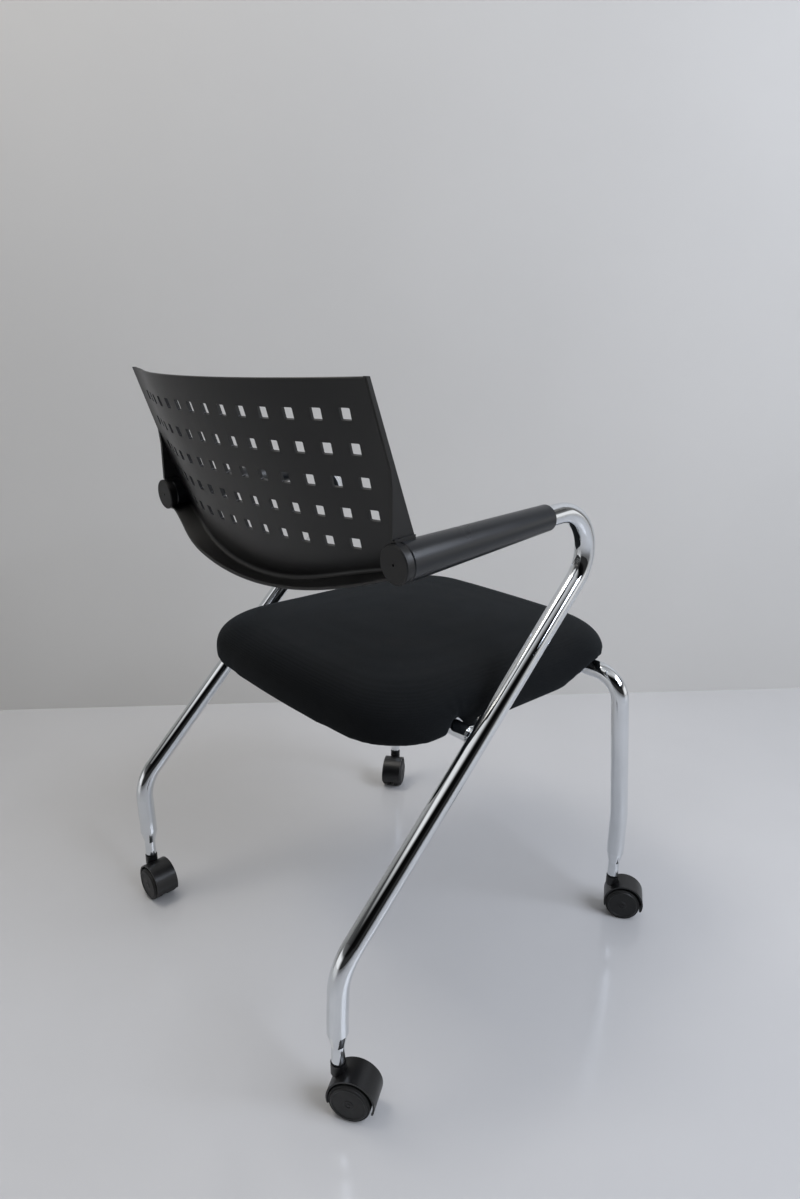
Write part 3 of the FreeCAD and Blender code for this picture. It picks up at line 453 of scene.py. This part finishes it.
@dataclass
class TubeFrame:
    """The chromed frame: side tubes, front leg frame, cross tube, rails and welds.

    Attributes:
        tube_r: Radius of the side and front tubes.
        cross: Middle of the cross tube.
        cross_r: Radius of the cross tube.
        rail: Middle of the left rail.
        rail_r: Radius of the rails.
        bead_r: Radius of a weld bead.
        bead_sides: Sides of a bead's section.
        bead_steps: Steps round a bead.
        ripples: Ripples round a bead.
        ripple: Share of its thickness by which a bead swells and shrinks.
    """

    tube_r: float = 12.5 * MM
    cross: Vector = field(default_factory=lambda: middle("seat_cross_tube"))
    cross_r: float = 10 * MM
    rail: Vector = field(default_factory=lambda: middle("left_seat_rail"))
    rail_r: float = 9.5 * MM
    bead_r: float = 1.3 * MM
    bead_sides: int = 10
    bead_steps: int = 72
    ripples: int = 24
    ripple: float = 0.18

    def weld_bead(self, name: str, centre: Vector, axis: Vector, radius: float) -> None:
        """Make one ripple-surfaced weld bead round a tube's end.

        Args:
            name: The piece's name.
            centre: Middle of the ring.
            axis: Axis of the tube that it goes round.
            radius: Radius of the ring.
        """
        corners = [math.tau * i / self.bead_sides for i in range(self.bead_sides)]
        ring = [
            (radius + self.bead_r * math.cos(corner), self.bead_r * math.sin(corner))
            for corner in corners
        ]
        bm = turned(ring, self.bead_steps, Matrix.Identity(4), True)
        for vert in bm.verts:
            around = math.atan2(vert.co.y, vert.co.x)
            across = Vector((math.cos(around), math.sin(around), 0)) * radius
            uneven = 0.7 * math.sin(around * 3)
            swell = 1 + self.ripple * math.sin(around * self.ripples + uneven)
            vert.co = across + (vert.co - across) * swell
        bm.transform(facing(axis, centre))
        add_piece(name, bm, WELD, "frame")

    def build(self) -> None:
        """Dress the frame's nodes and make its welds."""
        dress(
            ["right_side_tube", "left_side_tube", "front_leg_frame", "seat_cross_tube",
             "right_seat_rail", "left_seat_rail", "frame_gussets"],
            CHROME,
        )
        dress(["seat_stop_pins"], ZINC)
        side_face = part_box("left_side_tube")[1].x - 2 * self.tube_r
        front_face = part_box("front_leg_frame")[1].y
        for side in Side:
            word = side.name.lower()
            self.weld_bead(
                f"{word}_cross_tube_weld",
                Vector((side.value * (side_face - self.bead_r * 0.3), self.cross.y, self.cross.z)),
                Vector((1, 0, 0)), self.cross_r + self.bead_r * 0.4,
            )
            for place, y in (
                ("rear", self.cross.y - self.cross_r - self.bead_r * 0.2),
                ("front", front_face + self.bead_r * 0.2),
            ):
                self.weld_bead(
                    f"{word}_rail_{place}_weld",
                    Vector((side.value * self.rail.x, y, self.rail.z)),
                    Vector((0, 1, 0)), self.rail_r - self.bead_r * 0.1,
                )


@dataclass
class BackAndArms:
    """The perforated back, the arm sleeves and the caps that close them."""

    def build(self) -> None:
        """Dress the nodes of the back and the arms."""
        dress(["backrest"], BACK)
        dress(["right_arm_sleeve", "left_arm_sleeve"], SLEEVE)
        dress(["arm_end_caps"], CAP)
        dress(["arm_tube_plugs", "backrest_screws"], ZINC)


@dataclass
class SeatPad:
    """The upholstered seat with the board and hinge under it.

    Attributes:
        voxel: Size of the remesh.
        pressure: How hard the foam presses the cover out.
        press_frames: How many frames it presses for.
        swell_cap: How far the cloth may move a point.
        swell_share: Share of that move which the cover keeps.
        inner_x: Half-width inside which the pad's underside holds the board.
        board_top: Height of the board's top.
        free_from: Height at which the cover starts to be free of its hem.
        free_over: Height over which it gets free.
        tube: Middle of the cross tube, whose ends enter the skirt.
        half_width: Half the seat's width.
        pinch_reach: How far the puckers run from the tube.
        pinch_in: How far in from the seat's side they run.
        pinch_foot: Height under which the hem stays smooth.
        pinch_deep: How far the puckers draw the cloth in.
        folds: How many puckers run out from the tube.
        wander: Radians by which a pucker's waver turns in each metre.
    """

    voxel: float = 5.5 * MM
    pressure: float = 4.0
    press_frames: int = 15
    swell_cap: float = 2.0 * MM
    swell_share: float = 0.35
    inner_x: float = 214 * MM
    board_top: float = 423 * MM
    free_from: float = 412 * MM
    free_over: float = 16 * MM
    tube: Vector = field(default_factory=lambda: middle("seat_cross_tube"))
    half_width: float = field(default_factory=lambda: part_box("seat_cushion")[1].x)
    pinch_reach: float = 62 * MM
    pinch_in: float = 45 * MM
    pinch_foot: float = 396 * MM
    pinch_deep: float = 7.0 * MM
    folds: int = 7
    wander: float = 140.0

    def pad_blank(self) -> bpy.types.Object:
        """Return an even quad mesh of the cushion's form, ready for the cloth."""
        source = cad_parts["seat_cushion"].data
        bm = bmesh.new()
        bm.from_mesh(source)
        bmesh.ops.remove_doubles(bm, verts=bm.verts, dist=0.02 * MM)
        mesh = bpy.data.meshes.new("seat_pad")
        bm.to_mesh(mesh)
        bm.free()
        pad = bpy.data.objects.new("seat_pad", mesh)
        bpy.context.scene.collection.objects.link(pad)
        remesh = pad.modifiers.new("even_quads", "REMESH")
        remesh.mode = "VOXEL"
        remesh.voxel_size = self.voxel
        self.apply(pad)
        return pad

    def apply(self, pad: bpy.types.Object) -> None:
        """Apply every modifier of the pad to its mesh."""
        bpy.context.view_layer.update()
        shaped = pad.evaluated_get(bpy.context.evaluated_depsgraph_get())
        mesh = bpy.data.meshes.new_from_object(shaped)
        pad.modifiers.clear()
        pad.data = mesh

    def relax(self, pad: bpy.types.Object, passes: int) -> None:
        """Ease the remesh's steps out of the pad.

        Args:
            pad: The pad.
            passes: How often each point moves to the middle of its neighbours.
        """
        bm = bmesh.new()
        bm.from_mesh(pad.data)
        for _ in range(passes):
            bmesh.ops.smooth_vert(
                bm, verts=bm.verts, factor=0.5,
                use_axis_x=True, use_axis_y=True, use_axis_z=True,
            )
        bm.to_mesh(pad.data)
        bm.free()

    def fill_out(self, pad: bpy.types.Object) -> None:
        """Let the foam press the cover out, by cloth pressure held to a cap.

        Args:
            pad: The pad, whose mesh is changed.
        """
        start = [vert.co.copy() for vert in pad.data.vertices]
        cloth = pad.modifiers.new("cover", "CLOTH")
        cloth.settings.use_pressure = True
        cloth.settings.uniform_pressure_force = self.pressure
        cloth.settings.effector_weights.gravity = 0.0
        cloth.settings.quality = 4
        scene = bpy.context.scene
        for moment in range(1, self.press_frames + 1):
            scene.frame_set(moment)
        self.apply(pad)
        scene.frame_set(1)
        for vert, old in zip(pad.data.vertices, start):
            shift = vert.co - old
            if shift.length > self.swell_cap:
                shift = shift.normalized() * self.swell_cap
            vert.co = old + shift * self.freedom(old)

    def freedom(self, place: Vector) -> float:
        """Return how freely a point of the cover moves, 0 in the board's recess."""
        if abs(place.x) < self.inner_x and place.z < self.board_top:
            return 0.0
        free = min(max((place.z - self.free_from) / self.free_over, 0.0), 1.0)
        return self.swell_share * free

    def pucker(self, pad: bpy.types.Object) -> None:
        """Draw the cover in round the cross tube, in folds that run out from it.

        Args:
            pad: The pad, whose mesh is changed.
        """
        for vert in pad.data.vertices:
            place = vert.co
            depth = self.half_width - abs(place.x)
            if depth > self.pinch_in or place.z < self.pinch_foot:
                continue
            along, up = place.y - self.tube.y, place.z - self.tube.z
            reach = math.hypot(along, up)
            if reach > self.pinch_reach:
                continue
            fade = (1 - reach / self.pinch_reach) ** 1.6 * (1 - depth / self.pinch_in)
            around = math.atan2(up, along)
            wander = 0.7 * math.sin(reach * self.wander + around * 2)
            fold = 0.5 - 0.5 * math.cos(around * 2 * self.folds + wander)
            draw = self.pinch_deep * fade * (0.45 + 0.75 * fold)
            vert.co.x -= math.copysign(draw, place.x)
            vert.co.z += 0.25 * draw * math.sin(around)

    def build(self) -> None:
        """Make the pad and dress what is under it."""
        pad = self.pad_blank()
        self.relax(pad, 4)
        self.fill_out(pad)
        self.relax(pad, 3)
        self.pucker(pad)
        finer = pad.modifiers.new("finer", "SUBSURF")
        finer.levels = 1
        finer.render_levels = 1
        self.apply(pad)
        pad.data.materials.clear()
        pad.data.materials.append(CLOTH.material())
        smooth(pad, 80.0)
        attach(pad, "seat")
        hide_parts("seat_cushion")
        log.info("made seat_pad")
        dress(["seat_pan"], BOARD)
        dress(["right_hinge_block", "left_hinge_block"], ACETAL)
        dress(["hinge_straps", "hinge_screws"], ZINC)
        dress(["seat_bumpers"], RUBBER)


@dataclass
class Caster:
    """One twin-wheel caster.

    Attributes:
        corner: Which of the four it is.
        wheel_r: Radius over the tread.
        half: Half a wheel's width.
        tread_t: Thickness of the tread.
        steps: Steps of a turned wheel.
        cover_steps: Steps of its axle cover.
    """

    corner: Corner
    wheel_r: float = 25 * MM
    half: float = 8 * MM
    tread_t: float = 2.2 * MM
    steps: int = 72
    cover_steps: int = 40

    def disc_profile(self) -> list[tuple[float, float]]:
        """Return the wheel disc's closed section: hub, web, rim and bevelled outer face."""
        r, h, t = self.wheel_r, self.half, self.tread_t
        return [
            (3.05 * MM, -h), (6.6 * MM, -h), (7.0 * MM, -h + 0.4 * MM), (7.2 * MM, 3.4 * MM),
            (8.4 * MM, 4.4 * MM), (17.6 * MM, 4.4 * MM), (18.8 * MM, 3.6 * MM),
            (19.2 * MM, -h + 0.5 * MM), (19.7 * MM, -h), (r - t - 0.4 * MM, -h),
            (r - t, -h + 0.4 * MM), (r - t, h - 2.4 * MM), (r - t - 0.3 * MM, h - 1.6 * MM),
            (21.4 * MM, h - 0.5 * MM), (20.7 * MM, h - 0.15 * MM), (19.9 * MM, h - 0.1 * MM),
            (19.3 * MM, h - 0.45 * MM), (18.9 * MM, h - 0.9 * MM), (9.0 * MM, h - 0.7 * MM),
            (6.2 * MM, h - 0.6 * MM), (5.8 * MM, h - 0.15 * MM), (5.2 * MM, h - 0.05 * MM),
            (3.05 * MM, h - 0.05 * MM),
        ]

    def tread_profile(self) -> list[tuple[float, float]]:
        """Return the tread's closed section, rounded at its shoulders."""
        r, h, t = self.wheel_r, self.half, self.tread_t
        return [
            (r - t + 0.02 * MM, -h + 0.7 * MM), (r - 1.1 * MM, -h + 0.5 * MM),
            (r - 0.35 * MM, -h + 0.9 * MM), (r, -h + 1.9 * MM), (r, -0.9 * MM),
            (r - 0.25 * MM, -0.5 * MM), (r - 0.25 * MM, 0.5 * MM), (r, 0.9 * MM),
            (r, h - 3.2 * MM), (r - 0.35 * MM, h - 2.3 * MM), (r - 1.1 * MM, h - 1.8 * MM),
            (r - t + 0.02 * MM, h - 2.0 * MM),
        ]

    def cover_profile(self) -> list[tuple[float, float]]:
        """Return the section of the small domed cover in the middle of the outer face."""
        h = self.half
        return [
            (0.0, h - 0.05 * MM), (1.6 * MM, h - 0.1 * MM), (2.6 * MM, h - 0.35 * MM),
            (3.0 * MM, h - 0.8 * MM), (3.0 * MM, h - 1.8 * MM), (0.0, h - 1.8 * MM),
        ]

    def wheel(self, letter: str, other: str) -> None:
        """Make one wheel's disc and tread in place of its node, with its axle cover.

        Args:
            letter: "a" or "b".
            other: The other wheel's letter.
        """
        stem = f"{self.corner.value}_caster_wheel_"
        body = stem + letter
        centre = middle(body)
        outward = (centre - middle(stem + other)).normalized()
        turn = facing(outward, centre)
        disc = add_piece(
            f"{body}_disc", turned(self.disc_profile(), self.steps, turn, True),
            WHEEL, body,
        )
        add_piece(
            f"{body}_tread", turned(self.tread_profile(), self.steps, turn, True),
            TREAD, body,
        )
        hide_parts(body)
        add_piece(
            f"{body}_axle_cover", turned(self.cover_profile(), self.cover_steps, turn, False),
            HOOD, body,
        )

    def build(self) -> None:
        """Dress the caster's nodes and make its wheels."""
        name = self.corner.value
        dress([f"{name}_caster_hood"], HOOD)
        dress([f"{name}_caster_stem", f"{name}_caster_axle"], ZINC)
        for letter, other in (("a", "b"), ("b", "a")):
            self.wheel(letter, other)


@dataclass
class Studio:
    """Floor, wall, light and camera.

    Attributes:
        floor_colour: Colour of the coated floor.
        wall_colour: Colour of the painted wall.
        wall_normal: The wall's direction, towards the chair.
        wall_away: How far the wall's foot is from the origin.
        eye: Where the camera stands.
        eye_way: The direction in which it looks.
        eye_roll: Its roll in radians.
        focal_px: Its focal length in the photograph's pixels.
        picture_px: The photograph's height in pixels.
        sensor_mm: Height of the sensor.
    """

    floor_colour: str = "#c9c9ca"
    wall_colour: str = "#dddbd7"
    wall_normal: tuple[float, float, float] = (-0.8085, 0.5885, 0.0)
    wall_away: float = 0.74
    eye: tuple[float, float, float] = (-0.800, 0.6524, 0.8218)
    eye_way: tuple[float, float, float] = (0.7192, -0.6266, -0.3003)
    eye_roll: float = 0.0096
    focal_px: float = 772.8
    picture_px: float = 1199
    sensor_mm: float = 36.0

    def surface(self, name: str, colour: str, roughness: float, swing: float) -> bpy.types.Material:
        """Return a pale stage material, clear from behind.

        Args:
            name: The material's name.
            colour: Its colour.
            roughness: Its roughness.
            swing: How far its slow clouds change the colour's value.

        Returns:
            The material.
        """
        made = bpy.data.materials.new(name)
        made.use_nodes = True
        tree = made.node_tree
        shader = tree.nodes["Principled BSDF"]
        place = node(tree, "ShaderNodeTexCoord").outputs["Object"]
        cloud = node(
            tree, "ShaderNodeTexNoise", {"Scale": 2.2, "Detail": 5.0}, {"Vector": place},
        ).outputs["Fac"]
        value = node(
            tree, "ShaderNodeMapRange",
            {"From Min": 0.25, "From Max": 0.75, "To Min": 1 - swing, "To Max": 1 + swing},
            {"Value": cloud},
        ).outputs["Result"]
        tone = node(
            tree, "ShaderNodeMix", {0: 1.0, 6: linear(colour)}, {7: value},
            data_type="RGBA", blend_type="MULTIPLY",
        ).outputs[2]
        tree.links.new(tone, shader.inputs["Base Color"])
        shader.inputs["Roughness"].default_value = roughness
        bump = node(
            tree, "ShaderNodeBump", {"Strength": 0.25, "Distance": 0.002}, {"Height": cloud},
        ).outputs["Normal"]
        tree.links.new(bump, shader.inputs["Normal"])
        clear = node(tree, "ShaderNodeBsdfTransparent")
        behind = node(tree, "ShaderNodeNewGeometry").outputs["Backfacing"]
        mixed = node(
            tree, "ShaderNodeMixShader", {},
            {0: behind, 1: shader.outputs[0], 2: clear.outputs[0]},
        )
        tree.links.new(mixed.outputs[0], tree.nodes["Material Output"].inputs["Surface"])
        return made

    def plane(self, name: str, turn: Matrix, size: float, material: bpy.types.Material) -> None:
        """Make a stage plane.

        Args:
            name: The object's name.
            turn: Matrix from a plane square to +Z at the origin.
            size: Half its side.
            material: Its material.
        """
        bm = bmesh.new()
        bmesh.ops.create_grid(bm, x_segments=1, y_segments=1, size=size)
        bm.transform(turn)
        mesh = bpy.data.meshes.new(name)
        bm.to_mesh(mesh)
        bm.free()
        made = bpy.data.objects.new(name, mesh)
        mesh.materials.append(material)
        bpy.context.scene.collection.objects.link(made)

    def lamp(
        self,
        name: str,
        place: tuple[float, float, float],
        aim: tuple[float, float, float],
        size: tuple[float, float],
        watts: float,
        colour: str,
    ) -> None:
        """Add a soft area lamp.

        Args:
            name: Its name.
            place: Where it hangs.
            aim: The point that it faces.
            size: Its width and height.
            watts: Its power.
            colour: Colour of its light.
        """
        data = bpy.data.lights.new(name, "AREA")
        data.shape = "RECTANGLE"
        data.size, data.size_y = size
        data.energy = watts
        data.color = linear(colour)[:3]
        made = bpy.data.objects.new(name, data)
        made.location = place
        way = Vector(aim) - Vector(place)
        made.rotation_euler = way.to_track_quat("-Z", "Y").to_euler()
        bpy.context.scene.collection.objects.link(made)

    def sky(self) -> None:
        """Light the room round the stage: pale at the sides, dim overhead and behind the view."""
        world = bpy.data.worlds.new("room")
        bpy.context.scene.world = world
        world.use_nodes = True
        tree = world.node_tree
        background = tree.nodes["Background"]
        way = node(tree, "ShaderNodeTexCoord").outputs["Generated"]
        parts = node(tree, "ShaderNodeSeparateXYZ", {}, {0: way})
        height = node(tree, "ShaderNodeValToRGB", {}, {0: parts.outputs["Z"]})
        ramp = height.color_ramp
        ramp.elements[0].position = 0.0
        ramp.elements[0].color = (0.95, 0.95, 0.95, 1)
        ramp.elements[1].position = 1.0
        ramp.elements[1].color = (0.42, 0.43, 0.45, 1)
        pale_to, dark_from, dark_to, light_from = 0.22, 0.34, 0.60, 0.70
        for place, value in (
            (pale_to, 1.0), (dark_from, 0.16), (dark_to, 0.05), (light_from, 1.0),
        ):
            element = ramp.elements.new(place)
            element.color = (value, value, value, 1)
        behind = node(
            tree, "ShaderNodeVectorMath", {1: (-0.80, 0.60, 0.0)}, {0: way},
            operation="DOT_PRODUCT",
        ).outputs["Value"]
        dim = node(tree, "ShaderNodeValToRGB", {}, {0: behind})
        dim.color_ramp.elements[0].position = 0.45
        dim.color_ramp.elements[0].color = (1, 1, 1, 1)
        dim.color_ramp.elements[1].position = 0.72
        dim.color_ramp.elements[1].color = (0.03, 0.03, 0.03, 1)
        mixed = node(
            tree, "ShaderNodeMix", {0: 1.0},
            {6: height.outputs["Color"], 7: dim.outputs["Color"]},
            data_type="RGBA", blend_type="MULTIPLY",
        ).outputs[2]
        tree.links.new(mixed, background.inputs["Color"])
        background.inputs["Strength"].default_value = 1.0

    def camera(self) -> None:
        """Put the camera where the photograph was taken from."""
        data = bpy.data.cameras.new("photo_view")
        data.sensor_width = self.sensor_mm
        data.lens = self.focal_px / self.picture_px * self.sensor_mm
        data.clip_start = 0.01
        made = bpy.data.objects.new("photo_view", data)
        forward = Vector(self.eye_way).normalized()
        level = forward.cross(Vector((0, 0, 1))).normalized()
        upright = level.cross(forward)
        right = level * math.cos(self.eye_roll) + upright * math.sin(self.eye_roll)
        up = right.cross(forward)
        turn = Matrix((right, up, -forward)).transposed().to_4x4()
        made.matrix_world = Matrix.Translation(self.eye) @ turn
        bpy.context.scene.collection.objects.link(made)
        bpy.context.scene.camera = made

    def build(self) -> None:
        """Set up the whole stage."""
        floor = self.surface(
            "epoxy_coated_floor", self.floor_colour, roughness=0.16, swing=0.035,
        )
        wall = self.surface(
            "painted_plaster_wall", self.wall_colour, roughness=0.85, swing=0.02,
        )
        self.plane("floor", Matrix.Identity(4), 12.0, floor)
        normal = Vector(self.wall_normal).normalized()
        self.plane("wall", facing(normal, -normal * self.wall_away), 6.0, wall)
        self.lamp(
            "window_side", place=(-2.1, -0.7, 2.1), aim=(0, 0, 0.4), size=(1.8, 1.3),
            watts=52.0, colour="#eaf1ff",
        )
        self.lamp(
            "ceiling_panel", place=(0.9, 0.5, 2.7), aim=(0.2, 0, 0.3), size=(1.2, 0.8),
            watts=24.0, colour="#fffaf2",
        )
        self.sky()
        self.camera()
        bpy.context.scene.view_settings.view_transform = "Standard"
        log.info("stage ready")


def main() -> None:
    """Build the chair's assemblies in order, then the stage."""
    TubeFrame().build()
    BackAndArms().build()
    SeatPad().build()
    dress(["stem_bushes"], ACETAL)
    for corner in Corner:
        Caster(corner).build()
    Studio().build()


if __name__ == "__main__":
    main()
